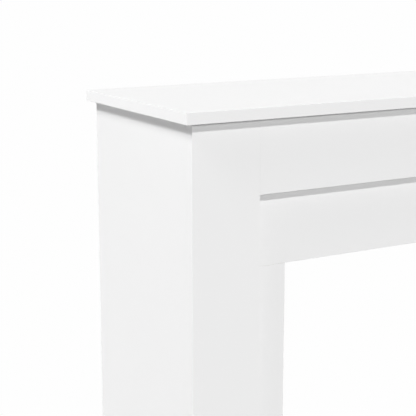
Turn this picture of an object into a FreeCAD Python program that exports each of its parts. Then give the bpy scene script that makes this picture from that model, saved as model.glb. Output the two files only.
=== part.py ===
"""A fireplace surround (mantel) in 15 mm melamine-faced board, built as its flat-pack pieces.

Row frame: X runs across the surround, +Y runs back to the wall and +Z is up. The origin lies on
the floor under the middle of the mantel top. Lengths are in millimetres.

The body has two layers at the front. The outer frame (two leg faces and the upper fascia) stands
one board proud of the recessed layer (two inner leg faces and the recessed fascia). Behind them
each leg is a box of a side panel and a return panel. A rear rail and two foot rails tie the back.
"""
import FreeCAD, Part
import os

import Sketcher
from FreeCAD import Placement, Rotation, Vector

DIMENSIONS = {
    # the whole surround
    "overall_width": 1120,
    "overall_depth": 300,
    "overall_height": 980,
    "side_overhang": 15,
    "front_overhang": 15,
    # boards and their glued edge strips
    "board_thickness": 15,
    "edging_thickness": 0.8,
    "leg_face_width": 100,
    "leg_width": 150,
    "upper_fascia_height": 100,
    "recessed_fascia_height": 200,
    "butt_gap": 0.1,
    "rear_rail_height": 100,
    "foot_rail_height": 80,
    # cam lock and its bolt
    "cam_setback": 34,
    "cam_bore_radius": 7.5,
    "cam_bore_depth": 12.5,
    "cam_radius": 7.4,
    "cam_height": 12.2,
    "cam_entry_radius": 3.9,
    "cam_window_radius": 5.4,
    "cam_window_height": 4.8,
    "cam_window_sweep": 200,
    "cam_driver_length": 9,
    "cam_driver_width": 1.6,
    "cam_driver_depth": 2.4,
    "bolt_thread_radius": 3,
    "bolt_thread_root": 2.3,
    "bolt_thread_length": 11,
    "bolt_thread_pitch": 2,
    "bolt_collar_radius": 3.7,
    "bolt_collar_length": 2,
    "bolt_shank_radius": 3,
    "bolt_shank_end": 27,
    "bolt_neck_radius": 2,
    "bolt_neck_end": 32.4,
    "bolt_head_radius": 3.4,
    "bolt_head_end": 35.6,
    "bolt_chamfer": 1,
    "bolt_hole_radius": 4,
    # grooved beech dowel
    "dowel_radius": 3.95,
    "dowel_hole_radius": 4,
    "dowel_length": 29,
    "dowel_face_depth": 10,
    "dowel_edge_depth": 20,
    "dowel_chamfer": 1,
    "dowel_groove_radius": 0.45,
    "dowel_groove_count": 16,
    "dowel_end_gap": 0.5,
    "dowel_offset": 32,
    # countersunk screw that pulls the outer frame onto the recessed layer
    "screw_length": 25,
    "screw_head_radius": 3.9,
    "screw_head_land": 0.4,
    "screw_tip_length": 2.5,
    "screw_runout": 0.5,
    "screw_shank_radius": 1.9,
    "screw_thread_root": 1.35,
    "screw_thread_pitch": 2,
    "screw_thread_length": 16,
    "screw_clearance_radius": 2.2,
    "screw_pilot_depth": 10.5,
    "screw_recess_length": 4.6,
    "screw_recess_width": 0.9,
    "screw_recess_depth": 1.9,
    "sink_clearance": 0.1,
    "head_below_face": 0.3,
    # connector screw through a rail into a return panel's back edge
    "connector_length": 49,
    "connector_tip_length": 2,
    "connector_tip_bevel": 1,
    "connector_pilot_gap": 1.5,
    "connector_head_radius": 5,
    "connector_head_height": 3,
    "connector_shank_radius": 3.4,
    "connector_shank_length": 14,
    "connector_thread_root": 2.4,
    "connector_thread_radius": 3.1,
    "connector_thread_pitch": 3,
    "connector_hole_radius": 3.5,
    "connector_pilot_radius": 3.1,
    "connector_socket_radius": 2.3,
    "connector_socket_depth": 3.2,
    # nail-in glide
    "glide_height": 4,
    "glide_radius": 7,
    "glide_rounding": 1,
    "glide_well_radius": 3.2,
    "glide_well_depth": 2,
    "nail_radius": 1,
    "nail_head_radius": 3,
    "nail_head_height": 1,
    "nail_depth": 12,
    "nail_tip_length": 2,
    "glide_inset": 40,
    # a thread's ridge, as shares of its pitch, and how far a cutting shape runs past a face
    "ridge_rise": 0.45,
    "ridge_crest_end": 0.6,
    "overshoot": 1,
    # where the joints sit along each board
    "shelf_joint_inset": 60,
    "fascia_joint_low": 160,
    "fascia_joint_high": 40,
    "rail_dowel_spread": 30,
    "foot_dowel_rise": 25,
    "leg_screw_inset": 60,
    "wall_hole_radius": 3,
    "wall_hole_spacing": 600,
}
# Heights above the foot of the boards, and distances from the middle plane.
LEG_CAM_HEIGHTS = (100, 400, 660)
RETURN_CAM_HEIGHTS = (150, 550)
LEG_SCREW_HEIGHTS = (50, 230, 500, 720)
LEG_DOWEL_HEIGHTS = (50, 300, 560, 760)
FASCIA_SCREW_PLACES = (100, 230, 360)
# Where the connector screws cross a rail, as shares of its height.
RAIL_SCREW_SHARES = (0.25, 0.75)

X, Y, Z = Vector(1, 0, 0), Vector(0, 1, 0), Vector(0, 0, 1)
SIDES = {"left": -1, "right": 1}

doc = FreeCAD.newDocument("FireplaceSurround")
sheet = doc.addObject("Spreadsheet::Sheet", "Dimensions")
for row, (alias, number) in enumerate(DIMENSIONS.items(), start=1):
    sheet.set(f"A{row}", alias)
    sheet.set(f"B{row}", str(number))
    sheet.setAlias(f"B{row}", alias)
doc.recompute()


def dim(alias):
    """The expression that reads one cell of the sheet."""
    return f"Dimensions.{alias}"


def value(expression):
    """An expression's value in millimetres, as a float."""
    return float(sheet.evalExpression(expression))


# Planes and widths that several boards share, as expressions.
BOARD = dim("board_thickness")
BODY_HALF = f"({dim('overall_width')} / 2 - {dim('side_overhang')})"
INSIDE_HALF = f"({BODY_HALF} - {BOARD})"
OPENING_HALF = f"({BODY_HALF} - {dim('leg_width')})"
FRAME_HALF = f"({BODY_HALF} - {dim('leg_face_width')})"
SIDE_MIDDLE = f"({BODY_HALF} - {BOARD} / 2)"
RETURN_MIDDLE = f"({OPENING_HALF} + {BOARD} / 2)"
FRONT = f"({dim('front_overhang')} - {dim('overall_depth')} / 2)"
RECESS = f"({FRONT} + {BOARD})"
RECESS_MIDDLE = f"({FRONT} + 1.5 * {BOARD})"
RECESS_BACK = f"({FRONT} + 2 * {BOARD})"
BACK = f"({dim('overall_depth')} / 2)"
RAIL_FRONT = f"({BACK} - {BOARD})"
RAIL_MIDDLE = f"({BACK} - {BOARD} / 2)"
FOOT = dim("glide_height")
SOFFIT = f"({dim('overall_height')} - {BOARD})"
LINTEL = f"({SOFFIT} - {dim('recessed_fascia_height')})"


def moved(point, direction, distance):
    """A point of three expressions, moved along a row axis by an expression."""
    return tuple(
        f"{at} + {step:g} * ({distance})" if step else at for at, step in zip(point, direction)
    )


def bind(feature, expressions):
    """Ties a feature's properties to the sheet."""
    for name, expression in expressions.items():
        feature.setExpression(name, str(expression))


def put(feature, point, direction=Z):
    """Turns a primitive's Z axis to a direction and ties its place to the sheet."""
    feature.Placement = Placement(Vector(), Rotation(Z, direction))
    bind(feature, {f"Placement.Base.{axis}": at for axis, at in zip("xyz", point)})


def box(name, low, size):
    """A box from its lowest corner and its three sizes."""
    made = doc.addObject("Part::Box", name)
    bind(made, dict(zip(("Length", "Width", "Height"), size)))
    put(made, low)
    return made


def rod(name, start, direction, radius, length):
    """A cylinder that runs from a point along a direction."""
    made = doc.addObject("Part::Cylinder", name)
    bind(made, {"Radius": radius, "Height": length})
    put(made, start, direction)
    return made


def cut(label, base, tools):
    """The base less all the tools."""
    tool = tools[0]
    if len(tools) > 1:
        tool = doc.addObject("Part::MultiFuse", f"{label}_tools")
        tool.Shapes = tools
    made = doc.addObject("Part::Cut", label)
    made.Base, made.Tool, made.Label = base, tool, label
    return made


def compound(label, pieces):
    """One node that holds several separate solids."""
    made = doc.addObject("Part::Compound", label)
    made.Links, made.Label = pieces, label
    return made


class Board:
    """A faced board, the glued strips on its visible edges and the holes drilled in it."""

    made = []

    def __init__(self, name, low, size, edged=()):
        """Edged lists the covered edges as (axis, side), such as (0, -1) for the low X edge."""
        self.name, self.low, self.size, self.edged = name, list(low), list(size), edged
        self.holes = []
        Board.made.append(self)

    def drill(self, start, direction, radius, depth):
        """Drills a round hole from a point along a direction."""
        name = f"{self.name}_hole_{len(self.holes)}"
        self.holes.append(rod(name, start, direction, dim(radius), dim(depth)))

    def drill_through(self, start, direction, radius):
        """Drills a round hole right through the board's thickness."""
        name = f"{self.name}_hole_{len(self.holes)}"
        self.holes.append(rod(name, start, direction, dim(radius), BOARD))

    def build(self):
        """Makes the core and the edging, and returns them as the board's nodes."""
        strip = dim("edging_thickness")
        low, size, strips = list(self.low), list(self.size), []
        for axis, side in self.edged:
            strip_low, strip_size = list(low), list(size)
            strip_size[axis] = strip
            if side > 0:
                strip_low[axis] = f"{low[axis]} + {size[axis]} - {strip}"
            else:
                low[axis] = f"{low[axis]} + {strip}"
            size[axis] = f"{size[axis]} - {strip}"
            strips.append(box(f"{self.name}_strip_{len(strips)}", strip_low, strip_size))
        core = box(f"{self.name}_blank", low, size)
        core = cut(self.name, core, self.holes) if self.holes else core
        core.Label = self.name
        nodes = [core]
        if strips:
            nodes.append(compound(f"{self.name}_edging", strips))
        return nodes


# ---------------------------------------------------------------- fastener masters, each along +Z


def turned(name, profile):
    """A PartDesign body turned about Z from a closed outline of (radius, height) expressions."""
    body = doc.addObject("PartDesign::Body", name)
    sketch = body.newObject("Sketcher::SketchObject", f"{name}_outline")
    plane = next(p for p in body.Origin.OriginFeatures if p.Role == "XZ_Plane")
    sketch.AttachmentSupport, sketch.MapMode = [(plane, "")], "FlatFace"
    corners = [Vector(value(r), value(h), 0) for r, h in profile]
    for i, corner in enumerate(corners):
        sketch.addGeometry(Part.LineSegment(corner, corners[(i + 1) % len(corners)]), False)
    for i in range(len(corners)):
        sketch.addConstraint(Sketcher.Constraint("Coincident", i, 2, (i + 1) % len(corners), 1))
    for i, (corner, expressions) in enumerate(zip(corners, profile)):
        for kind, at, axis, expression in zip(
            ("DistanceX", "DistanceY"), (corner.x, corner.y), (-2, -1), expressions
        ):
            if at < 1e-9:
                sketch.addConstraint(Sketcher.Constraint("PointOnObject", i, 1, axis))
            else:
                made = sketch.addConstraint(Sketcher.Constraint(kind, -1, 1, i, 1, at))
                sketch.setExpression(f"Constraints[{made}]", str(expression))
    turn = body.newObject("PartDesign::Revolution", f"{name}_turn")
    turn.Profile = sketch
    turn.ReferenceAxis = (sketch, ["V_Axis"])
    turn.Angle = 360
    return body


def ridges(root, crest, pitch, start, end):
    """The outline of a thread's ridges from one height to another, as (radius, height)."""
    count = int((value(end) - value(start)) // value(pitch))
    outline = []
    for i in range(count):
        foot = f"{start} + {i} * {pitch}"
        outline.append((root, foot))
        outline.append((crest, f"{foot} + {dim('ridge_rise')} * {pitch}"))
        outline.append((crest, f"{foot} + {dim('ridge_crest_end')} * {pitch}"))
    outline.append((root, f"{start} + {count} * {pitch}"))
    return outline


def cross_recess(name, centre_height, length, width, depth):
    """Two crossed slots that open upwards at a height."""
    low = f"{centre_height} - {depth}"
    tall = f"{depth} + {dim('overshoot')}"
    across = box(f"{name}_slot_a", (f"-{length} / 2", f"-{width} / 2", low), (length, width, tall))
    along = box(f"{name}_slot_b", (f"-{width} / 2", f"-{length} / 2", low), (width, length, tall))
    return [across, along]


def make_cam():
    """The cam drum: its foot at z = 0, its driver slots on top and its bolt's way in along +X."""
    axis_height = f"({dim('cam_bore_depth')} - {BOARD} / 2)"
    drum = rod("cam_drum", ("0", "0", "0"), Z, dim("cam_radius"), dim("cam_height"))
    entry = rod(
        "cam_entry",
        (f"-{dim('cam_entry_radius')}", "0", axis_height),
        X,
        dim("cam_entry_radius"),
        f"{dim('cam_radius')} + {dim('cam_entry_radius')} + {dim('overshoot')}",
    )
    window_low = f"{axis_height} - {dim('cam_window_height')} / 2"
    window = rod(
        "cam_window", ("0", "0", window_low), Z, dim("cam_bore_radius"), dim("cam_window_height")
    )
    window.setExpression("Angle", dim("cam_window_sweep"))
    hub = rod(
        "cam_hub", ("0", "0", window_low), Z, dim("cam_window_radius"), dim("cam_window_height")
    )
    ring = cut("cam_window_ring", window, [hub])
    slots = cross_recess(
        "cam",
        dim("cam_height"),
        dim("cam_driver_length"),
        dim("cam_driver_width"),
        dim("cam_driver_depth"),
    )
    return cut("cam_master", drum, [entry, ring, *slots])


def make_bolt():
    """The cam bolt: its threaded tip at z = 0 and its head at the top."""
    thread = dim("bolt_thread_length")
    root, crest = dim("bolt_thread_root"), dim("bolt_thread_radius")
    outline = [("0", "0")]
    outline += ridges(root, crest, dim("bolt_thread_pitch"), "0", thread)
    bevel = dim("bolt_chamfer")
    steps = (
        ("bolt_thread_root", "0"),
        ("bolt_collar_radius", "0"),
        ("bolt_collar_radius", dim("bolt_collar_length")),
        ("bolt_shank_radius", dim("bolt_collar_length")),
        ("bolt_shank_radius", dim("bolt_shank_end")),
        ("bolt_neck_radius", f"{dim('bolt_shank_end')} + {bevel}"),
        ("bolt_neck_radius", f"{dim('bolt_neck_end')} - {bevel}"),
        ("bolt_head_radius", dim("bolt_neck_end")),
        ("bolt_head_radius", f"{dim('bolt_head_end')} - {bevel}"),
        ("bolt_neck_radius", dim("bolt_head_end")),
    )
    outline += [(dim(radius), f"{thread} + {height}") for radius, height in steps]
    outline.append(("0", f"{thread} + {dim('bolt_head_end')}"))
    return turned("bolt_master", outline)


def make_dowel():
    """The dowel: chamfered at both ends, with straight glue grooves all round."""
    radius, length, bevel = dim("dowel_radius"), dim("dowel_length"), dim("dowel_chamfer")
    body = turned(
        "dowel_master",
        [
            ("0", "0"),
            (f"{radius} - {bevel}", "0"),
            (radius, bevel),
            (radius, f"{length} - {bevel}"),
            (f"{radius} - {bevel}", length),
            ("0", length),
        ],
    )
    plane = next(p for p in body.Origin.OriginFeatures if p.Role == "XY_Plane")
    sketch = body.newObject("Sketcher::SketchObject", "dowel_groove_outline")
    sketch.AttachmentSupport, sketch.MapMode = [(plane, "")], "FlatFace"
    groove_radius = dim("dowel_groove_radius")
    out, size = value(radius), value(groove_radius)
    sketch.addGeometry(Part.Circle(Vector(out, 0, 0), Z, size), False)
    sketch.addConstraint(Sketcher.Constraint("PointOnObject", 0, 3, -1))
    made = sketch.addConstraint(Sketcher.Constraint("Radius", 0, size))
    sketch.setExpression(f"Constraints[{made}]", groove_radius)
    made = sketch.addConstraint(Sketcher.Constraint("DistanceX", -1, 1, 0, 3, out))
    sketch.setExpression(f"Constraints[{made}]", radius)
    groove = body.newObject("PartDesign::Pocket", "dowel_groove")
    groove.Profile = sketch
    groove.setExpression("Length", length)
    groove.Reversed = True
    doc.recompute()
    grooves = body.newObject("PartDesign::PolarPattern", "dowel_grooves")
    grooves.Originals = [groove]
    grooves.Axis = (sketch, ["N_Axis"])
    grooves.Angle = 360
    grooves.Occurrences = int(DIMENSIONS["dowel_groove_count"])
    body.Tip = grooves
    doc.recompute()
    return body


def make_screw():
    """The countersunk screw: its point at z = 0 and its flat head at the top."""
    length, root = dim("screw_length"), dim("screw_thread_root")
    shank, head = dim("screw_shank_radius"), dim("screw_head_radius")
    thread, tip, land = dim("screw_thread_length"), dim("screw_tip_length"), dim("screw_head_land")
    outline = [("0", "0")]
    outline += ridges(root, shank, dim("screw_thread_pitch"), tip, f"{tip} + {thread}")
    outline += [
        (shank, f"{tip} + {thread} + {dim('screw_runout')}"),
        (shank, f"{length} - ({head} - {shank}) - {land}"),
        (head, f"{length} - {land}"),
        (head, length),
        ("0", length),
    ]
    slots = cross_recess(
        "screw",
        length,
        dim("screw_recess_length"),
        dim("screw_recess_width"),
        dim("screw_recess_depth"),
    )
    return cut("screw_master", turned("screw_blank", outline), slots)


def make_connector():
    """The connector screw: its blunt point at z = 0 and its flat socket head at the top."""
    length, root = dim("connector_length"), dim("connector_thread_root")
    crest, shank = dim("connector_thread_radius"), dim("connector_shank_radius")
    head, tall = dim("connector_head_radius"), dim("connector_head_height")
    tip, bevel = dim("connector_tip_length"), dim("connector_tip_bevel")
    shank_start = f"{length} - {dim('connector_shank_length')}"
    outline = [("0", "0"), (f"{root} - {bevel}", "0")]
    outline += ridges(root, crest, dim("connector_thread_pitch"), tip, f"{shank_start} - {bevel}")
    outline += [
        (root, shank_start),
        (shank, shank_start),
        (shank, f"{length} - {tall}"),
        (head, f"{length} - {bevel}"),
        (head, length),
        ("0", length),
    ]
    socket = doc.addObject("Part::Prism", "connector_socket")
    socket.Polygon = 6
    depth = dim("connector_socket_depth")
    tall = f"{depth} + {dim('overshoot')}"
    bind(socket, {"Circumradius": dim("connector_socket_radius"), "Height": tall})
    put(socket, ("0", "0", f"{length} - {depth}"))
    return cut("connector_master", turned("connector_blank", outline), [socket])


def make_glide():
    """The glide's plastic pad: flat on the floor at z = 0, with a well for the nail's head."""
    radius, tall, soft = dim("glide_radius"), dim("glide_height"), dim("glide_rounding")
    well, deep, nail = dim("glide_well_radius"), dim("glide_well_depth"), dim("nail_radius")
    return turned(
        "glide_master",
        [
            (well, "0"),
            (f"{radius} - {soft}", "0"),
            (radius, soft),
            (radius, tall),
            (nail, tall),
            (nail, deep),
            (well, deep),
        ],
    )


def make_nail():
    """The glide's nail: the underside of its head is at the top of the well."""
    base = f"{dim('glide_well_depth')} - {dim('nail_head_height')}"
    tip = f"{dim('glide_height')} + {dim('nail_depth')}"
    radius, head = dim("nail_radius"), dim("nail_head_radius")
    return turned(
        "nail_master",
        [
            ("0", base),
            (head, base),
            (head, dim("glide_well_depth")),
            (radius, dim("glide_well_depth")),
            (radius, f"{tip} - {dim('nail_tip_length')}"),
            ("0", tip),
        ],
    )


# ------------------------------------------------------------------------- joints between boards

groups = {}


def fasten(group, master, point, axis, facing=None):
    """Adds one fastener to a group: its origin, its Z axis and, if it matters, its X axis."""
    copies = groups.setdefault(group, [])
    copy = doc.addObject("App::Link", f"{group}_{len(copies)}")
    copy.LinkedObject = master
    turn = Rotation(Z, axis) if facing is None else Rotation(facing, axis.cross(facing), axis)
    copy.Placement = Placement(Vector(), turn)
    bind(copy, {f"Placement.Base.{letter}": at for letter, at in zip("xyz", point)})
    copies.append(copy)


def cam_joint(face, edge, crossing, inward, mouth, masters):
    """Draws an edge of one board tight onto the face of another.

    The bolt is screwed into the face board, crosses the joint at a point and runs inward along
    the middle of the edge board. The cam sits in a bore that opens on the mouth's side.
    """
    face.drill(crossing, -inward, "bolt_thread_radius", "bolt_thread_length")
    edge.drill(crossing, inward, "bolt_hole_radius", "cam_setback")
    centre = moved(crossing, inward, dim("cam_setback"))
    rim = moved(centre, mouth, f"{BOARD} / 2")
    edge.drill(rim, -mouth, "cam_bore_radius", "cam_bore_depth")
    tip = moved(crossing, -inward, dim("bolt_thread_length"))
    fasten(f"cam_bolts_{face.name}", masters["bolt"], tip, inward)
    floor = moved(rim, -mouth, dim("cam_bore_depth"))
    fasten(f"cam_locks_{edge.name}", masters["cam"], floor, mouth, facing=-inward)


def dowel_joint(face, edge, crossing, inward, masters):
    """Locates an edge of one board on the face of another with a glued dowel."""
    face.drill(crossing, -inward, "dowel_hole_radius", "dowel_face_depth")
    edge.drill(crossing, inward, "dowel_hole_radius", "dowel_edge_depth")
    start = moved(crossing, -inward, f"{dim('dowel_face_depth')} - {dim('dowel_end_gap')}")
    fasten(f"dowels_{face.name}", masters["dowel"], start, inward)


def screw_joint(front, behind, point, group, masters):
    """Pulls a front board onto the board behind it with a countersunk screw from the back."""
    behind.drill_through(point, -Y, "screw_clearance_radius")
    sink = doc.addObject("Part::Cone", f"{behind.name}_sink_{len(behind.holes)}")
    clear = dim("screw_clearance_radius")
    rim = f"{dim('screw_head_radius')} + {dim('screw_head_land')} + {dim('sink_clearance')}"
    bind(sink, {"Radius1": rim, "Radius2": clear, "Height": f"{rim} - {clear}"})
    put(sink, point, -Y)
    behind.holes.append(sink)
    front.drill(moved(point, -Y, BOARD), -Y, "screw_shank_radius", "screw_pilot_depth")
    fasten(group, masters["screw"], moved(point, -Y, dim("screw_length")), Y)


def connector_joint(rail, panel, point, group, masters):
    """Holds a rail onto a panel's back edge with a connector screw from behind."""
    rail.drill_through(point, -Y, "connector_hole_radius")
    sink = doc.addObject("Part::Cylinder", f"{rail.name}_sink_{len(rail.holes)}")
    head, tall = dim("connector_head_radius"), dim("connector_head_height")
    below = dim("head_below_face")
    bind(sink, {"Radius": f"{head} + {dim('sink_clearance')}", "Height": f"{tall} + {below}"})
    put(sink, point, -Y)
    rail.holes.append(sink)
    pilot = moved(point, -Y, BOARD)
    name = f"{panel.name}_hole_{len(panel.holes)}"
    deep = f"{dim('connector_length')} - {BOARD} + {dim('connector_pilot_gap')}"
    panel.holes.append(rod(name, pilot, -Y, dim("connector_pilot_radius"), deep))
    start = moved(point, -Y, f"{dim('connector_length')} + {below}")
    fasten(group, masters["connector"], start, Y)


def span(side, inner, outer):
    """The low X and the width of a board between two distances from the middle plane."""
    low = inner if side > 0 else f"-({outer})"
    return low, f"({outer}) - ({inner})"


def make_middle_boards():
    """The boards that cross the middle plane."""
    full = dim("overall_width")
    top = Board(
        "mantel_top",
        (f"-{full} / 2", f"-{dim('overall_depth')} / 2", SOFFIT),
        (full, dim("overall_depth"), BOARD),
        edged=((1, -1), (0, -1), (0, 1)),
    )
    upper = Board(
        "upper_fascia",
        (f"-{FRAME_HALF}", FRONT, f"{SOFFIT} - {dim('upper_fascia_height')}"),
        (f"2 * {FRAME_HALF}", BOARD, dim("upper_fascia_height")),
        edged=((2, -1),),
    )
    recessed = Board(
        "recessed_fascia",
        (f"-{INSIDE_HALF}", RECESS, LINTEL),
        (f"2 * {INSIDE_HALF}", BOARD, dim("recessed_fascia_height")),
        edged=((2, -1),),
    )
    rail = Board(
        "rear_rail",
        (f"-{INSIDE_HALF}", RAIL_FRONT, f"{SOFFIT} - {dim('rear_rail_height')}"),
        (f"2 * {INSIDE_HALF}", BOARD, dim("rear_rail_height")),
        edged=((2, -1),),
    )
    return top, upper, recessed, rail


def make_leg_boards(hand, side):
    """The five boards of one leg."""
    tall = f"{SOFFIT} - {FOOT}"
    outer_x, outer_width = span(side, INSIDE_HALF, BODY_HALF)
    panel = Board(
        f"side_panel_{hand}", (outer_x, RECESS, FOOT), (outer_width, f"{BACK} - {RECESS}", tall)
    )
    return_x, return_width = span(side, OPENING_HALF, f"{OPENING_HALF} + {BOARD}")
    inner = Board(
        f"return_panel_{hand}",
        (return_x, RECESS_BACK, FOOT),
        (return_width, f"{RAIL_FRONT} - {RECESS_BACK}", tall),
    )
    face_x, face_width = span(side, FRAME_HALF, BODY_HALF)
    face = Board(
        f"leg_face_{hand}",
        (face_x, FRONT, FOOT),
        (face_width, BOARD, tall),
        edged=((0, -1), (0, 1)),
    )
    strip_x, strip_width = span(side, OPENING_HALF, INSIDE_HALF)
    strip = Board(
        f"inner_leg_face_{hand}",
        (strip_x, RECESS, FOOT),
        (strip_width, BOARD, f"{LINTEL} - {dim('butt_gap')} - {FOOT}"),
        edged=((0, -side),),
    )
    foot = Board(
        f"foot_rail_{hand}",
        (strip_x, RAIL_FRONT, FOOT),
        (strip_width, BOARD, dim("foot_rail_height")),
        edged=((0, -side), (2, 1)),
    )
    return panel, inner, face, strip, foot


def join_leg(hand, side, leg, middle, masters):
    """Drills and fastens one leg's boards to each other and to the boards across the middle."""
    panel, inner, face, strip, foot = leg
    top, upper, recessed, rail = middle
    side_x, return_x = f"{side} * {SIDE_MIDDLE}", f"{side} * {RETURN_MIDDLE}"
    inside_x = f"{side} * {INSIDE_HALF}"
    inset, apart = dim("shelf_joint_inset"), dim("dowel_offset")

    # The mantel top lies on the side panel and on the return panel.
    for board, at_x, mouth, front, back in (
        (panel, side_x, X * -side, RECESS, BACK),
        (inner, return_x, X * side, RECESS_BACK, RAIL_FRONT),
    ):
        for edge_y, step in ((front, 1), (back, -1)):
            cam_y = f"{edge_y} + {step} * {inset}"
            cam_joint(top, board, (at_x, cam_y, SOFFIT), -Z, mouth, masters)
            dowel_y = f"{cam_y} + {step} * {apart}"
            dowel_joint(top, board, (at_x, dowel_y, SOFFIT), -Z, masters)

    # The side panel takes the ends of the fascia, the inner leg face and both rails.
    centre = X * -side
    for drop in ("fascia_joint_high", "fascia_joint_low"):
        at = (inside_x, RECESS_MIDDLE, f"{SOFFIT} - {dim(drop)}")
        cam_joint(panel, recessed, at, centre, Y, masters)
    half_fascia = f"{SOFFIT} - {dim('recessed_fascia_height')} / 2"
    dowel_joint(panel, recessed, (inside_x, RECESS_MIDDLE, half_fascia), centre, masters)
    for height in LEG_CAM_HEIGHTS:
        at = (inside_x, RECESS_MIDDLE, f"{FOOT} + {height}")
        cam_joint(panel, strip, at, centre, Y, masters)
        dowel_joint(panel, strip, moved(at, Z, apart), centre, masters)
    rail_at = (inside_x, RAIL_MIDDLE, f"{SOFFIT} - {dim('rear_rail_height')} / 2")
    cam_joint(panel, rail, rail_at, centre, Y, masters)
    for direction in (Z, -Z):
        beside = moved(rail_at, direction, dim("rail_dowel_spread"))
        dowel_joint(panel, rail, beside, centre, masters)
    foot_at = (inside_x, RAIL_MIDDLE, f"{FOOT} + {dim('foot_rail_height')} / 2")
    cam_joint(panel, foot, foot_at, centre, Y, masters)
    dowel_joint(panel, foot, moved(foot_at, Z, dim("foot_dowel_rise")), centre, masters)

    # The return panel's front edge is drawn onto the recessed layer.
    at = (return_x, RECESS_BACK, half_fascia)
    cam_joint(recessed, inner, at, Y, X * side, masters)
    for height in RETURN_CAM_HEIGHTS:
        at = (return_x, RECESS_BACK, f"{FOOT} + {height}")
        cam_joint(strip, inner, at, Y, X * side, masters)

    # The leg face covers the side panel's front edge and is screwed on from inside the leg.
    for height in LEG_DOWEL_HEIGHTS:
        at = (side_x, RECESS, f"{FOOT} + {height}")
        dowel_joint(face, panel, at, Y, masters)
    screw_x = f"{side} * ({BODY_HALF} - {dim('leg_screw_inset')})"
    group = f"facing_screws_leg_{hand}"
    for height in LEG_SCREW_HEIGHTS:
        screw_joint(face, strip, (screw_x, RECESS_BACK, f"{FOOT} + {height}"), group, masters)
    screw_joint(face, recessed, (screw_x, RECESS_BACK, half_fascia), group, masters)
    upper_z = f"{SOFFIT} - {dim('upper_fascia_height')} / 2"
    for place in FASCIA_SCREW_PLACES:
        at = (f"{side * place}", RECESS_BACK, upper_z)
        screw_joint(upper, recessed, at, "facing_screws_fascia", masters)

    # Both rails are held onto the return panel's back edge.
    for board, low, tall in (
        (rail, f"({SOFFIT} - {dim('rear_rail_height')})", dim("rear_rail_height")),
        (foot, FOOT, dim("foot_rail_height")),
    ):
        for share in RAIL_SCREW_SHARES:
            at = (return_x, BACK, f"{low} + {share} * {tall}")
            connector_joint(board, inner, at, f"connector_screws_{hand}", masters)

    # Two glides stand under each of the two deep panels.
    for board, at_x, front, back in (
        (panel, side_x, RECESS, BACK),
        (inner, return_x, RECESS_BACK, RAIL_FRONT),
    ):
        for edge_y, step in ((front, 1), (back, -1)):
            at_y = f"{edge_y} + {step} * {dim('glide_inset')}"
            board.drill((at_x, at_y, FOOT), Z, "nail_radius", "nail_depth")
            fasten(f"glide_pads_{hand}", masters["glide"], (at_x, at_y, "0"), Z)
            fasten(f"glide_nails_{hand}", masters["nail"], (at_x, at_y, "0"), Z)


def main():
    """Builds every node, checks them and writes one STEP file for each."""
    masters = {
        "cam": make_cam(),
        "bolt": make_bolt(),
        "dowel": make_dowel(),
        "screw": make_screw(),
        "connector": make_connector(),
        "glide": make_glide(),
        "nail": make_nail(),
    }
    middle = make_middle_boards()
    for hand, side in SIDES.items():
        leg = make_leg_boards(hand, side)
        join_leg(hand, side, leg, middle, masters)
        rail = middle[-1]
        wall_x = f"{side} * {dim('wall_hole_spacing')} / 2"
        wall_z = f"{SOFFIT} - {dim('rear_rail_height')} / 2"
        rail.drill_through((wall_x, BACK, wall_z), -Y, "wall_hole_radius")
    nodes = [node for board in Board.made for node in board.build()]
    nodes += [compound(name, copies) for name, copies in groups.items()]
    doc.recompute()

    failed = [o.Name for o in doc.Objects if {"Invalid", "Error"} & set(o.State)]
    bad = [n.Label for n in nodes if n.Shape.isNull() or not n.Shape.isValid()]
    if failed or bad:
        raise RuntimeError(f"failed features: {failed}; bad shapes: {bad}")
    os.makedirs("parts", exist_ok=True)
    for old in os.listdir("parts"):
        os.remove(os.path.join("parts", old))
    for node in nodes:
        node.Shape.exportStep(os.path.join("parts", f"{node.Label}.step"))
        solids = len(node.Shape.Solids)
        print(f"{node.Label:34s} {solids:3d} solids {node.Shape.Volume / 1000:10.2f} cm3")
    print(f"{len(nodes)} nodes")


main()
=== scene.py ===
"""A white flat-panel fireplace surround, dressed for a studio picture.

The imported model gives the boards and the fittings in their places. This script gives each of
them its finish, makes the edge strips and the floor glides as finer meshes, and sets the floor,
the lamps and the camera. Lengths are in metres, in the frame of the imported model: X runs to the
right, Y runs back to the wall, Z runs up, and the origin lies on the floor.
"""

from __future__ import annotations

import logging
import math
from dataclasses import dataclass, field
from enum import Enum

import bmesh
import bpy
from mathutils import Euler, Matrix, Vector


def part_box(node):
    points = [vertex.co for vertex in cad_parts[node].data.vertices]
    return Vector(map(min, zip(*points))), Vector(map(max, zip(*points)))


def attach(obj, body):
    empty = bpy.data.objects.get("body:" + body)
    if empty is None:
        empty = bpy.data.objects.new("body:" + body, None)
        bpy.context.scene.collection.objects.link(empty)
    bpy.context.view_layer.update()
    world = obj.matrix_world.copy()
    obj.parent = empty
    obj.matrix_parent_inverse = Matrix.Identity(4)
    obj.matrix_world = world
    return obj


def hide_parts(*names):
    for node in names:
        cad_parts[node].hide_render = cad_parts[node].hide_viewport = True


LOG = logging.getLogger("surround")
BODY = "root"
MM = 0.001
QUARTER_TURN = math.pi / 2
FULL_TURN = 2 * math.pi

# The numbers of a mix node's colour sockets. Its other sockets mix numbers and vectors.
MIX_FIRST = 6
MIX_SECOND = 7
MIX_RESULT = 2

Colour = tuple[float, float, float]
Place = tuple[float, float, float]
Range = tuple[float, float]
Stop = tuple[float, Colour]
Socket = bpy.types.NodeSocket
Box = tuple[Vector, Vector]


class Axis(Enum):
    """A row axis, by its place in a vector."""

    X = 0
    Y = 1
    Z = 2


class Hand(Enum):
    """The side of the surround that a leg stands on, as seen from the room."""

    LEFT = "left"
    RIGHT = "right"

    @property
    def side(self) -> int:
        """The sign of X on this side."""
        return -1 if self is Hand.LEFT else 1


# ------------------------------------------------------------------------------ node graphs


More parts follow.
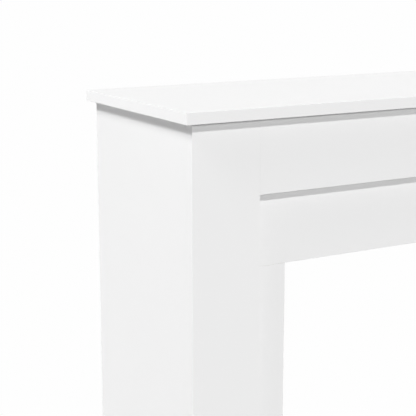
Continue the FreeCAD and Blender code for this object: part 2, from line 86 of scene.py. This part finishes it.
class Graph:
    """The node tree of one material, with short ways to add and link nodes."""

    def __init__(self, name: str) -> None:
        """Starts an empty tree.

        Args:
            name: The material's name.
        """
        self.material = bpy.data.materials.new(name)
        self.material.use_nodes = True
        self.tree = self.material.node_tree
        self.tree.nodes.clear()
        self.place = self.add("ShaderNodeTexCoord").outputs["Object"]

    def add(
        self, kind: str, inputs: dict[str, object] | None = None, **settings: object
    ) -> bpy.types.Node:
        """Adds a node.

        Args:
            kind: The node's type name.
            inputs: What each named input is linked or set to.
            **settings: The node's own properties.

        Returns:
            The new node.
        """
        node = self.tree.nodes.new(kind)
        for name, setting in settings.items():
            setattr(node, name, setting)
        for name, source in (inputs or {}).items():
            self.feed(node.inputs[name], source)
        return node

    def feed(self, target: Socket, source: object) -> None:
        """Links a socket to an input, or sets the input to a value.

        Args:
            target: The input socket.
            source: An output socket, a number or a colour.
        """
        if isinstance(source, Socket):
            self.tree.links.new(source, target)
        elif isinstance(source, tuple) and target.type == "RGBA":
            target.default_value = (*source, 1.0)
        else:
            target.default_value = source

    def math(self, operation: str, first: object, second: object = 0.0) -> Socket:
        """One step of arithmetic.

        Args:
            operation: The name of the operation.
            first: The first number or socket.
            second: The second number or socket.

        Returns:
            The socket that holds the result.
        """
        node = self.add("ShaderNodeMath", operation=operation)
        self.feed(node.inputs[0], first)
        self.feed(node.inputs[1], second)
        return node.outputs[0]

    def mix(self, share: object, first: object, second: object) -> Socket:
        """Mixes two colours, or two numbers as greys.

        Args:
            share: How much of the second there is, from 0 to 1.
            first: The first colour.
            second: The second colour.

        Returns:
            The socket that holds the mixed colour.
        """
        node = self.add("ShaderNodeMix", data_type="RGBA")
        self.feed(node.inputs[0], share)
        self.feed(node.inputs[MIX_FIRST], first)
        self.feed(node.inputs[MIX_SECOND], second)
        return node.outputs[MIX_RESULT]

    def span(self, source: Socket, limits: Range) -> Socket:
        """Maps a value of 0 to 1 onto another range.

        Args:
            source: The value.
            limits: What 0 and 1 become.

        Returns:
            The socket that holds the mapped value.
        """
        low, high = limits
        node = self.add("ShaderNodeMapRange", {"Value": source, "To Min": low, "To Max": high})
        return node.outputs["Result"]

    def ramp(self, source: Socket, *stops: Stop) -> Socket:
        """Turns a value into a colour.

        Args:
            source: The value, from 0 to 1.
            *stops: Each stop's place and colour, in order.

        Returns:
            The socket that holds the colour.
        """
        node = self.add("ShaderNodeValToRGB", {"Fac": source})
        elements = node.color_ramp.elements
        while len(elements) < len(stops):
            elements.new(1.0)
        for element, (place, colour) in zip(elements, stops):
            element.position = place
            element.color = (*colour, 1.0)
        return node.outputs["Color"]

    def stretched(self, axis: Axis, scale: float) -> Socket:
        """The place on the object, scaled along one axis.

        Args:
            axis: The axis.
            scale: The scale along it. Under 1, a pattern read here is drawn out along the axis.

        Returns:
            The socket that holds the scaled place.
        """
        scales = [1.0, 1.0, 1.0]
        scales[axis.value] = scale
        node = self.add("ShaderNodeMapping", {"Vector": self.place, "Scale": tuple(scales)})
        return node.outputs["Vector"]

    def noise(self, cell: float, detail: float = 2.0, place: Socket | None = None) -> Socket:
        """Soft noise.

        Args:
            cell: The size of one patch, in metres.
            detail: How many finer layers it has.
            place: Where it is read, which is the object's own place if not given.

        Returns:
            The socket that holds the noise, about 0.5 on average.
        """
        inputs = {"Vector": place or self.place, "Scale": 1 / cell, "Detail": detail}
        return self.add("ShaderNodeTexNoise", inputs).outputs["Fac"]

    def bump(self, height: Socket, distance: float) -> Socket:
        """A relief from a height.

        Args:
            height: The height, from 0 to 1.
            distance: How far 1 stands proud of 0, in metres.

        Returns:
            The socket that holds the normal.
        """
        inputs = {"Height": height, "Distance": distance}
        return self.add("ShaderNodeBump", inputs).outputs["Normal"]

    def finish(self, **inputs: object) -> bpy.types.Material:
        """Ends the tree in one Principled shader.

        Args:
            **inputs: The shader's inputs, with underscores for the spaces in their names.

        Returns:
            The finished material.
        """
        named = {name.replace("_", " "): source for name, source in inputs.items()}
        shader = self.add("ShaderNodeBsdfPrincipled", named)
        self.add("ShaderNodeOutputMaterial", {"Surface": shader.outputs["BSDF"]})
        return self.material


# ---------------------------------------------------------------------------------- finishes


@dataclass(frozen=True)
class Melamine:
    """The white paper film pressed onto both faces of a board, with its fine peel."""

    colour: Colour = (0.860, 0.860, 0.860)
    worn_colour: Colour = (0.850, 0.850, 0.850)
    roughness: Range = (0.64, 0.74)
    specular: float = 0.2
    peel_cell: float = 1.1 * MM
    peel_depth: float = 0.012 * MM
    cloud_cell: float = 190 * MM
    film: float = 0.3 * MM

    def colour_on(self, graph: Graph) -> Socket:
        """The film's colour, which drifts a very little across a board."""
        return graph.mix(graph.noise(self.cloud_cell, detail=3.0), self.colour, self.worn_colour)

    def roughness_on(self, graph: Graph) -> Socket:
        """The film's roughness, which handling has polished in places."""
        return graph.span(graph.noise(self.cloud_cell, detail=4.0), self.roughness)

    def relief_on(self, graph: Graph) -> Socket:
        """The peel that the press plate leaves, as a height."""
        return graph.noise(self.peel_cell)


@dataclass(frozen=True)
class ParticleCore:
    """The raw particle board between the films, fine near the faces and coarse in the middle."""

    pale: Colour = (0.62, 0.47, 0.30)
    middle: Colour = (0.47, 0.33, 0.19)
    dark: Colour = (0.27, 0.17, 0.09)
    middle_stop: float = 0.3
    chip: float = 3.6 * MM
    dust: float = 1.1 * MM
    flatness: float = 2.6
    coarse_share: float = 0.55
    depth: float = 0.35 * MM
    roughness: float = 0.9

    def chips_on(self, graph: Graph, axis: Axis, from_middle: Socket) -> tuple[Socket, Socket]:
        """The chips' colour and height.

        Args:
            graph: The material's node tree.
            axis: The axis of the board's thickness, along which the chips are pressed flat.
            from_middle: How far a place is from the board's middle plane, from 0 to 1.

        Returns:
            The sockets that hold the colour and the height.
        """
        place = graph.stretched(axis, self.flatness)
        is_fine = graph.math("GREATER_THAN", from_middle, self.coarse_share)
        stops = ((0.0, self.dark), (self.middle_stop, self.middle), (1.0, self.pale))
        cells = []
        tones = []
        for size in (self.chip, self.dust):
            cell = graph.add("ShaderNodeTexVoronoi", {"Vector": place, "Scale": 1 / size})
            parts = graph.add("ShaderNodeSeparateColor", {"Color": cell.outputs["Color"]})
            cells.append(cell)
            tones.append(graph.ramp(parts.outputs[0], *stops))
        coarse, fine = tones
        height = graph.math("SUBTRACT", 1.0, cells[0].outputs["Distance"])
        return graph.mix(is_fine, coarse, fine), height


@dataclass(frozen=True)
class FacedBoard:
    """Particle board with a white film on both faces; its sawn edges and holes show the core."""

    skin: Melamine = Melamine()
    core: ParticleCore = ParticleCore()

    def material(self, name: str, axis: Axis, box: Box) -> bpy.types.Material:
        """Makes the finish of one board.

        Args:
            name: The board's name.
            axis: The axis of the board's thickness.
            box: The board's lowest and highest corner.

        Returns:
            The material.
        """
        graph = Graph(f"faced_{name}")
        low, high = (corner[axis.value] for corner in box)
        middle = (low + high) / 2
        half = (high - low) / 2
        parts = graph.add("ShaderNodeSeparateXYZ", {"Vector": graph.place})
        offset = graph.math("SUBTRACT", parts.outputs[axis.value], middle)
        from_middle = graph.math("DIVIDE", graph.math("ABSOLUTE", offset), half)
        is_film = graph.math("GREATER_THAN", from_middle, 1 - self.skin.film / half)
        chips, chip_height = self.core.chips_on(graph, axis, from_middle)
        chip_relief = graph.math("MULTIPLY", chip_height, self.core.depth / self.skin.peel_depth)
        relief = graph.mix(is_film, chip_relief, self.skin.relief_on(graph))
        core_roughness = (self.core.roughness,) * 3
        return graph.finish(
            Base_Color=graph.mix(is_film, chips, self.skin.colour_on(graph)),
            Roughness=graph.mix(is_film, core_roughness, self.skin.roughness_on(graph)),
            Normal=graph.bump(relief, self.skin.peel_depth),
            Specular_IOR_Level=self.skin.specular,
        )


@dataclass(frozen=True)
class EdgeStrip:
    """The thin white plastic strip glued over a sawn edge, with faint scraper marks along it."""

    colour: Colour = (0.860, 0.860, 0.860)
    streak_colour: Colour = (0.852, 0.852, 0.852)
    roughness: Range = (0.60, 0.70)
    specular: float = 0.2
    streak_length: float = 90 * MM
    streak_width: float = 0.6 * MM
    depth: float = 0.008 * MM

    def material(self, name: str, along: Axis) -> bpy.types.Material:
        """Makes the finish of the strips of one board.

        Args:
            name: The board's name.
            along: The axis that most of the strips run along.

        Returns:
            The material.
        """
        graph = Graph(f"edge_strip_{name}")
        place = graph.stretched(along, self.streak_width / self.streak_length)
        streaks = graph.noise(self.streak_width, place=place)
        return graph.finish(
            Base_Color=graph.mix(streaks, self.colour, self.streak_colour),
            Roughness=graph.span(streaks, self.roughness),
            Normal=graph.bump(streaks, self.depth),
            Specular_IOR_Level=self.specular,
        )


@dataclass(frozen=True)
class Metal:
    """A metal with a cloudy tone, a fine grain and a softly broken sheen."""

    name: str
    colour: Colour
    dull_colour: Colour
    roughness: Range
    grain: float
    depth: float
    grains_to_cloud: float = 9.0

    def material(self) -> bpy.types.Material:
        """Makes the metal's material.

        Returns:
            The material.
        """
        graph = Graph(self.name)
        grain = graph.noise(self.grain, detail=4.0)
        cloud = graph.noise(self.grain * self.grains_to_cloud, detail=3.0)
        return graph.finish(
            Base_Color=graph.mix(cloud, self.colour, self.dull_colour),
            Roughness=graph.span(cloud, self.roughness),
            Normal=graph.bump(grain, self.depth),
            Metallic=1.0,
        )


ZINC = Metal(
    name="die_cast_zinc",
    colour=(0.56, 0.56, 0.57),
    dull_colour=(0.42, 0.42, 0.43),
    roughness=(0.48, 0.62),
    grain=0.5 * MM,
    depth=0.03 * MM,
)
STEEL = Metal(
    name="plated_steel",
    colour=(0.74, 0.75, 0.77),
    dull_colour=(0.60, 0.61, 0.64),
    roughness=(0.30, 0.44),
    grain=0.3 * MM,
    depth=0.01 * MM,
)


@dataclass(frozen=True)
class Beech:
    """Bare beech with short dark rays along its grain."""

    pale: Colour = (0.66, 0.48, 0.30)
    dark: Colour = (0.46, 0.30, 0.17)
    dark_stop: float = 0.35
    pale_stop: float = 0.6
    ray_width: float = 0.5 * MM
    ray_length: float = 4.0 * MM
    depth: float = 0.05 * MM
    roughness: float = 0.7

    def material(self, name: str, along: Axis) -> bpy.types.Material:
        """Makes the finish of dowels.

        Args:
            name: What the dowels hold.
            along: The axis that the dowels' grain runs along.

        Returns:
            The material.
        """
        graph = Graph(f"beech_{name}")
        place = graph.stretched(along, self.ray_width / self.ray_length)
        rays = graph.noise(self.ray_width, detail=3.0, place=place)
        colour = graph.ramp(rays, (self.dark_stop, self.dark), (self.pale_stop, self.pale))
        return graph.finish(
            Base_Color=colour,
            Roughness=self.roughness,
            Normal=graph.bump(rays, self.depth),
        )


@dataclass(frozen=True)
class MouldedPlastic:
    """White moulded plastic with a faint mould grain and scuffs."""

    colour: Colour = (0.80, 0.80, 0.79)
    scuff_colour: Colour = (0.70, 0.70, 0.68)
    roughness: Range = (0.42, 0.60)
    grain: float = 0.4 * MM
    scuff: float = 3.0 * MM
    depth: float = 0.02 * MM

    def material(self) -> bpy.types.Material:
        """Makes the plastic's material.

        Returns:
            The material.
        """
        graph = Graph("moulded_plastic")
        scuffs = graph.noise(self.scuff, detail=4.0)
        return graph.finish(
            Base_Color=graph.mix(scuffs, self.colour, self.scuff_colour),
            Roughness=graph.span(scuffs, self.roughness),
            Normal=graph.bump(graph.noise(self.grain), self.depth),
        )


@dataclass
class Finishes:
    """The metals and the plastic, made once, and the finishes that each piece gets its own of."""

    strip: EdgeStrip = EdgeStrip()
    beech: Beech = Beech()
    zinc: bpy.types.Material = field(default_factory=ZINC.material)
    steel: bpy.types.Material = field(default_factory=STEEL.material)
    plastic: bpy.types.Material = field(default_factory=MouldedPlastic().material)


# ---------------------------------------------------------------------------- sub-assemblies


def dress(node: str, material: bpy.types.Material) -> None:
    """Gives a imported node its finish.

    Args:
        node: The node's name.
        material: The finish.
    """
    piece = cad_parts[node]
    piece.data.materials.clear()
    piece.data.materials.append(material)
    LOG.info("%-34s %s", node, material.name)


def make_piece(
    name: str, mesh: bmesh.types.BMesh, material: bpy.types.Material
) -> bpy.types.Object:
    """Turns a finished bmesh into an object that rides on the surround.

    Args:
        name: The piece's name.
        mesh: The shape, in the row frame.
        material: The finish.

    Returns:
        The new object.
    """
    bmesh.ops.recalc_face_normals(mesh, faces=mesh.faces)
    data = bpy.data.meshes.new(name)
    mesh.to_mesh(data)
    mesh.free()
    data.materials.append(material)
    piece = bpy.data.objects.new(name, data)
    bpy.context.scene.collection.objects.link(piece)
    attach(piece, BODY)
    LOG.info("%-34s %s", name, material.name)
    return piece


@dataclass
class EdgedBoard:
    """One board and the strips on its edges.

    The strips are given in the order in which they were glued on, each as an axis and a side.
    An earlier strip runs past the ends of a later one.
    """

    name: str
    thickness_axis: Axis
    strips: tuple[tuple[Axis, int], ...] = ()
    faces: FacedBoard = FacedBoard()
    arris: float = 0.2 * MM
    arris_steps: int = 4

    def profile(self, depth: float, width: float) -> list[tuple[float, float]]:
        """A strip's section: square where it is glued, with two eased arrises outside.

        Args:
            depth: The strip's thickness, measured outwards from the board.
            width: The board's thickness.

        Returns:
            The section's corners as (outwards, across).
        """
        corners = [(0.0, 0.0)]
        for centre, start in ((self.arris, -QUARTER_TURN), (width - self.arris, 0.0)):
            for step in range(self.arris_steps + 1):
                angle = start + QUARTER_TURN * step / self.arris_steps
                out = depth - self.arris + self.arris * math.cos(angle)
                corners.append((out, centre + self.arris * math.sin(angle)))
        corners.append((0.0, width))
        return corners

    def add_strip(
        self, mesh: bmesh.types.BMesh, low: Vector, high: Vector, axis: Axis, side: int
    ) -> None:
        """Adds one strip to a mesh.

        Args:
            mesh: The mesh that holds the board's strips.
            low: The strip's lowest corner.
            high: The strip's highest corner.
            axis: The axis that it faces along.
            side: Which way it faces along that axis.
        """
        across = self.thickness_axis
        along = next(a for a in Axis if a not in (axis, across))
        size = high - low
        glued = low[axis.value] if side > 0 else high[axis.value]
        section = self.profile(size[axis.value], size[across.value])
        ends = []
        for at in (low[along.value], high[along.value]):
            ring = []
            for out, over in section:
                point = Vector()
                point[axis.value] = glued + side * out
                point[across.value] = low[across.value] + over
                point[along.value] = at
                ring.append(mesh.verts.new(point))
            ends.append(ring)
            mesh.faces.new(ring)
        near, far = ends
        for i in range(len(section)):
            j = (i + 1) % len(section)
            mesh.faces.new((near[i], near[j], far[j], far[i]))

    def make_strips(self, strip: EdgeStrip) -> None:
        """Makes the board's edge strips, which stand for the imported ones.

        Args:
            strip: The strips' finish.
        """
        node = f"{self.name}_edging"
        core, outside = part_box(self.name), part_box(node)
        low = Vector(map(min, core[0], outside[0]))
        high = Vector(map(max, core[1], outside[1]))
        mesh = bmesh.new()
        for axis, side in self.strips:
            strip_low, strip_high = low.copy(), high.copy()
            if side > 0:
                strip_low[axis.value] = core[1][axis.value]
                high[axis.value] = core[1][axis.value]
            else:
                strip_high[axis.value] = core[0][axis.value]
                low[axis.value] = core[0][axis.value]
            self.add_strip(mesh, strip_low, strip_high, axis, side)
        size = outside[1] - outside[0]
        longest = max(Axis, key=lambda axis: size[axis.value])
        material = strip.material(self.name, longest)
        piece = make_piece(f"{self.name}_edge_strips", mesh, material)
        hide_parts(node)

    def build(self, finishes: Finishes) -> None:
        """Dresses the board and makes its strips.

        Args:
            finishes: The surround's finishes.
        """
        material = self.faces.material(self.name, self.thickness_axis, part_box(self.name))
        dress(self.name, material)
        if self.strips:
            self.make_strips(finishes.strip)


@dataclass
class MantelShelf:
    """The thin top, with the bolts and dowels that stand up into it.

    Its film colour is a touch greyer than the other boards': painted shade that tones down its
    brightly lit top face.
    """

    # The greyer film is painted shade, a darker copy of the white film for the brightly lit top.
    film: Melamine = Melamine(colour=(0.828, 0.828, 0.828), worn_colour=(0.818, 0.818, 0.818))
    strips: tuple[tuple[Axis, int], ...] = ((Axis.Y, -1), (Axis.X, -1), (Axis.X, 1))

    def build(self, finishes: Finishes) -> None:
        """Dresses the shelf.

        Args:
            finishes: The surround's finishes.
        """
        EdgedBoard("mantel_top", Axis.Z, self.strips, FacedBoard(self.film)).build(finishes)
        dress("cam_bolts_mantel_top", finishes.steel)
        dress("dowels_mantel_top", finishes.beech.material("mantel_top", Axis.Z))


@dataclass
class Fascia:
    """The upper fascia, flush with the leg faces, and the recessed one behind it."""

    strips: tuple[tuple[Axis, int], ...] = ((Axis.Z, -1),)

    def build(self, finishes: Finishes) -> None:
        """Dresses both boards and what holds them.

        Args:
            finishes: The surround's finishes.
        """
        for board in ("upper_fascia", "recessed_fascia"):
            EdgedBoard(board, Axis.Y, self.strips).build(finishes)
        dress("facing_screws_fascia", finishes.steel)
        dress("cam_bolts_recessed_fascia", finishes.steel)
        dress("cam_locks_recessed_fascia", finishes.zinc)


@dataclass
class RearRail:
    """The rail that ties the legs at the back and takes the wall fixings."""

    strips: tuple[tuple[Axis, int], ...] = ((Axis.Z, -1),)

    def build(self, finishes: Finishes) -> None:
        """Dresses the rail and its cam locks."""
        EdgedBoard("rear_rail", Axis.Y, self.strips).build(finishes)
        dress("cam_locks_rear_rail", finishes.zinc)


@dataclass
class Glides:
    """The nail-in glides under one leg, two to a panel."""

    hand: Hand
    inset: float = 40 * MM
    height: float = 4 * MM
    radius: float = 7 * MM
    rounding: float = 1.2 * MM
    rounding_steps: int = 6
    well_radius: float = 3.2 * MM
    well_depth: float = 2 * MM
    nail_radius: float = 1 * MM
    sides: int = 48

    def outline(self) -> list[tuple[float, float]]:
        """The pad's section, with a rounded rim where it slides.

        Returns:
            The section's corners as (radius, height).
        """
        section = [(self.well_radius, 0.0)]
        for step in range(self.rounding_steps + 1):
            angle = QUARTER_TURN * step / self.rounding_steps
            out = self.radius - self.rounding * (1 - math.sin(angle))
            section.append((out, self.rounding * (1 - math.cos(angle))))
        section.append((self.radius, self.height))
        section.append((self.nail_radius, self.height))
        section.append((self.nail_radius, self.well_depth))
        section.append((self.well_radius, self.well_depth))
        return section

    def places(self) -> list[tuple[float, float]]:
        """The middle of each pad, from the panels that it is nailed to.

        Returns:
            Each middle as (x, y).
        """
        found = []
        for panel in ("side_panel", "return_panel"):
            low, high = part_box(f"{panel}_{self.hand.value}")
            middle = (low.x + high.x) / 2
            found += [(middle, low.y + self.inset), (middle, high.y - self.inset)]
        return found

    def add_pad(self, mesh: bmesh.types.BMesh, x: float, y: float) -> None:
        """Adds one pad to a mesh, turned about an upright axis.

        Args:
            mesh: The mesh that holds the leg's pads.
            x: The X of the pad's middle.
            y: The Y of the pad's middle.
        """
        turns = [FULL_TURN * i / self.sides for i in range(self.sides)]
        rings = []
        for radius, height in self.outline():
            points = [(x + radius * math.cos(t), y + radius * math.sin(t), height) for t in turns]
            rings.append([mesh.verts.new(point) for point in points])
        for ring, after in zip(rings, rings[1:] + rings[:1]):
            for i in range(self.sides):
                j = (i + 1) % self.sides
                mesh.faces.new((ring[i], ring[j], after[j], after[i]))

    def build(self, finishes: Finishes) -> None:
        """Makes the pads as turned meshes, and dresses their nails.

        Args:
            finishes: The surround's finishes.
        """
        mesh = bmesh.new()
        for x, y in self.places():
            self.add_pad(mesh, x, y)
        hand = self.hand.value
        piece = make_piece(f"glide_discs_{hand}", mesh, finishes.plastic)
        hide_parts(f"glide_pads_{hand}")
        dress(f"glide_nails_{hand}", finishes.steel)


@dataclass
class Leg:
    """One boxed leg: its five boards, its fittings and its glides."""

    hand: Hand
    locked_boards: tuple[str, ...] = (
        "side_panel",
        "return_panel",
        "inner_leg_face",
        "foot_rail",
    )
    steel_groups: tuple[str, ...] = (
        "cam_bolts_side_panel",
        "cam_bolts_inner_leg_face",
        "facing_screws_leg",
        "connector_screws",
    )
    dowelled_boards: tuple[tuple[str, Axis], ...] = (("side_panel", Axis.X), ("leg_face", Axis.Y))

    def boards(self) -> list[EdgedBoard]:
        """The leg's boards, each with its strips in the order of gluing.

        Returns:
            The five boards.
        """
        hand, inward = self.hand.value, -self.hand.side
        return [
            EdgedBoard(f"side_panel_{hand}", Axis.X),
            EdgedBoard(f"return_panel_{hand}", Axis.X),
            EdgedBoard(f"leg_face_{hand}", Axis.Y, ((Axis.X, -1), (Axis.X, 1))),
            EdgedBoard(f"inner_leg_face_{hand}", Axis.Y, ((Axis.X, inward),)),
            EdgedBoard(f"foot_rail_{hand}", Axis.Y, ((Axis.X, inward), (Axis.Z, 1))),
        ]

    def build(self, finishes: Finishes) -> None:
        """Dresses the leg.

        Args:
            finishes: The surround's finishes.
        """
        hand = self.hand.value
        for board in self.boards():
            board.build(finishes)
        for board in self.locked_boards:
            dress(f"cam_locks_{board}_{hand}", finishes.zinc)
        for group in self.steel_groups:
            dress(f"{group}_{hand}", finishes.steel)
        for board, along in self.dowelled_boards:
            wood = finishes.beech.material(f"{board}_{hand}", along)
            dress(f"dowels_{board}_{hand}", wood)
        Glides(self.hand).build(finishes)


# ------------------------------------------------------------------------------------ studio


@dataclass(frozen=True)
class Lamp:
    """One distant lamp: where it shines from, how strong it is and how soft its shadows are.

    The turn is measured from straight in front of the surround, towards its right, and the
    climb from the floor. The spread is the angle that the lamp fills in the sky.
    """

    name: str
    turn_deg: float
    climb_deg: float
    strength: float
    spread_deg: float

    def direction(self) -> Vector:
        """The direction from the surround to the lamp.

        Returns:
            A vector of length 1.
        """
        turn, climb = math.radians(self.turn_deg), math.radians(self.climb_deg)
        flat = math.cos(climb)
        return Vector((math.sin(turn) * flat, -math.cos(turn) * flat, math.sin(climb)))

    def build(self) -> None:
        """Hangs the lamp."""
        data = bpy.data.lights.new(self.name, "SUN")
        data.energy = self.strength
        data.angle = math.radians(self.spread_deg)
        lamp = bpy.data.objects.new(self.name, data)
        lamp.rotation_mode = "QUATERNION"
        lamp.rotation_quaternion = self.direction().to_track_quat("Z", "Y")
        bpy.context.scene.collection.objects.link(lamp)
        LOG.info("%-34s %.2f", self.name, self.strength)


@dataclass(frozen=True)
class Floor:
    """A plain white floor that takes soft shadows near the surround and fades into the backdrop.

    The fade starts at the near distance from the surround's middle and is whole at the far one.
    Inside it, the backdrop's glow already has the least share.
    """

    radius: float = 90.0
    sides: int = 96
    near: float = 0.62
    far: float = 0.98
    seen_colour: Colour = (0.88, 0.88, 0.88)
    bounced_colour: Colour = (0.25, 0.25, 0.25)
    glow: float = 0.991
    least_glow: float = 0.45

    def fade(self, graph: Graph) -> Socket:
        """The backdrop's share of the floor.

        Args:
            graph: The floor's node tree.

        Returns:
            The socket that holds the share, from 0 to 1.
        """
        away = graph.add("ShaderNodeVectorMath", operation="LENGTH")
        graph.feed(away.inputs[0], graph.place)
        inputs = {
            "Value": away.outputs["Value"],
            "From Min": self.near,
            "From Max": self.far,
            "To Min": self.least_glow,
        }
        fade = graph.add("ShaderNodeMapRange", inputs, interpolation_type="SMOOTHSTEP")
        return fade.outputs["Result"]

    def paint(self) -> bpy.types.Material:
        """Makes the floor's paint, which lights the surround less than a white floor would.

        Returns:
            The material.
        """
        graph = Graph("studio_floor")
        is_seen = graph.add("ShaderNodeLightPath").outputs["Is Camera Ray"]
        colour = graph.mix(is_seen, self.bounced_colour, self.seen_colour)
        diffuse = graph.add("ShaderNodeBsdfDiffuse", {"Color": colour})
        backdrop = graph.add("ShaderNodeEmission", {"Strength": self.glow})
        share = graph.math("MULTIPLY", self.fade(graph), is_seen)
        mixed = graph.add("ShaderNodeMixShader", {"Fac": share})
        graph.feed(mixed.inputs[1], diffuse.outputs["BSDF"])
        graph.feed(mixed.inputs[2], backdrop.outputs["Emission"])
        graph.add("ShaderNodeOutputMaterial", {"Surface": mixed.outputs["Shader"]})
        return graph.material

    def build(self) -> None:
        """Lays the floor."""
        mesh = bmesh.new()
        bmesh.ops.create_circle(mesh, cap_ends=True, radius=self.radius, segments=self.sides)
        data = bpy.data.meshes.new("studio_floor")
        mesh.to_mesh(data)
        mesh.free()
        data.materials.append(self.paint())
        floor = bpy.data.objects.new("studio_floor", data)
        bpy.context.scene.collection.objects.link(floor)


@dataclass(frozen=True)
class Surroundings:
    """The even light from all round."""

    colour: Colour = (1.0, 1.0, 1.0)
    strength: float = 0.02
    seen_strength: float = 0.991

    def build(self) -> None:
        """Fills the world with white light, and shows a white backdrop to the camera."""
        world = bpy.data.worlds.new("studio_world")
        world.use_nodes = True
        tree = world.node_tree
        tree.nodes.clear()
        path = tree.nodes.new("ShaderNodeLightPath")
        mixed = tree.nodes.new("ShaderNodeMixShader")
        share, unseen, seen = mixed.inputs
        tree.links.new(path.outputs["Is Camera Ray"], share)
        for socket, strength in ((unseen, self.strength), (seen, self.seen_strength)):
            light = tree.nodes.new("ShaderNodeBackground")
            light.inputs["Color"].default_value = (*self.colour, 1.0)
            light.inputs["Strength"].default_value = strength
            tree.links.new(light.outputs["Background"], socket)
        output = tree.nodes.new("ShaderNodeOutputWorld")
        tree.links.new(mixed.outputs["Shader"], output.inputs["Surface"])
        bpy.context.scene.world = world


@dataclass(frozen=True)
class Viewpoint:
    """Where the camera stands and which way it looks.

    The turn is measured from straight back to the wall, towards the surround's right, and the
    dip down from level.
    """

    place: Place = (-1.2087, -1.3380, 1.1544)
    turn_deg: float = 29.71
    dip_deg: float = 12.15
    lens_mm: float = 97.56
    sensor_mm: float = 36.0
    reach: float = 400.0

    def build(self) -> None:
        """Sets up the camera."""
        data = bpy.data.cameras.new("studio_camera")
        data.lens = self.lens_mm
        data.sensor_width = self.sensor_mm
        data.clip_end = self.reach
        camera = bpy.data.objects.new("studio_camera", data)
        camera.location = self.place
        tilt = QUARTER_TURN - math.radians(self.dip_deg)
        camera.rotation_euler = Euler((tilt, 0.0, -math.radians(self.turn_deg)))
        bpy.context.scene.collection.objects.link(camera)
        bpy.context.scene.camera = camera


@dataclass(frozen=True)
class Studio:
    """The floor, the lamps, the surroundings and the camera."""

    floor: Floor = Floor()
    surroundings: Surroundings = Surroundings()
    viewpoint: Viewpoint = Viewpoint()
    lamps: tuple[Lamp, ...] = (
        Lamp("key_lamp", turn_deg=0, climb_deg=38, strength=1.58, spread_deg=4),
        Lamp("side_key", turn_deg=-90, climb_deg=45, strength=0.92, spread_deg=5),
        Lamp("side_wide", turn_deg=-90, climb_deg=48.5, strength=2.18, spread_deg=24),
        Lamp("front_fill", turn_deg=0, climb_deg=14.5, strength=1.25, spread_deg=9),
        Lamp("right_fill", turn_deg=104, climb_deg=1, strength=2.2, spread_deg=12),
        Lamp("back_fill", turn_deg=204, climb_deg=1, strength=2.2, spread_deg=12),
    )

    def build(self) -> None:
        """Sets up the studio."""
        self.floor.build()
        self.surroundings.build()
        for lamp in self.lamps:
            lamp.build()
        self.viewpoint.build()
        settings = bpy.context.scene.view_settings
        settings.view_transform = "Standard"
        settings.look = "None"


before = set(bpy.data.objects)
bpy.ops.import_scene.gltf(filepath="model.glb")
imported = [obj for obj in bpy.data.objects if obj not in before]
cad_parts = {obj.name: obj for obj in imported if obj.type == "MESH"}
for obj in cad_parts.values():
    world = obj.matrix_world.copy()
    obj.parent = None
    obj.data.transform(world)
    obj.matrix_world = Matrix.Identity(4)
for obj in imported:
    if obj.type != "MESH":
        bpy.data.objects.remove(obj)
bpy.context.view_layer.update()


def main() -> None:
    """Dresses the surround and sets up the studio."""
    logging.basicConfig(level=logging.INFO, format="%(message)s")
    finishes = Finishes()
    MantelShelf().build(finishes)
    Fascia().build(finishes)
    RearRail().build(finishes)
    for hand in Hand:
        Leg(hand).build(finishes)
    Studio().build()


if __name__ == "__main__":
    main()
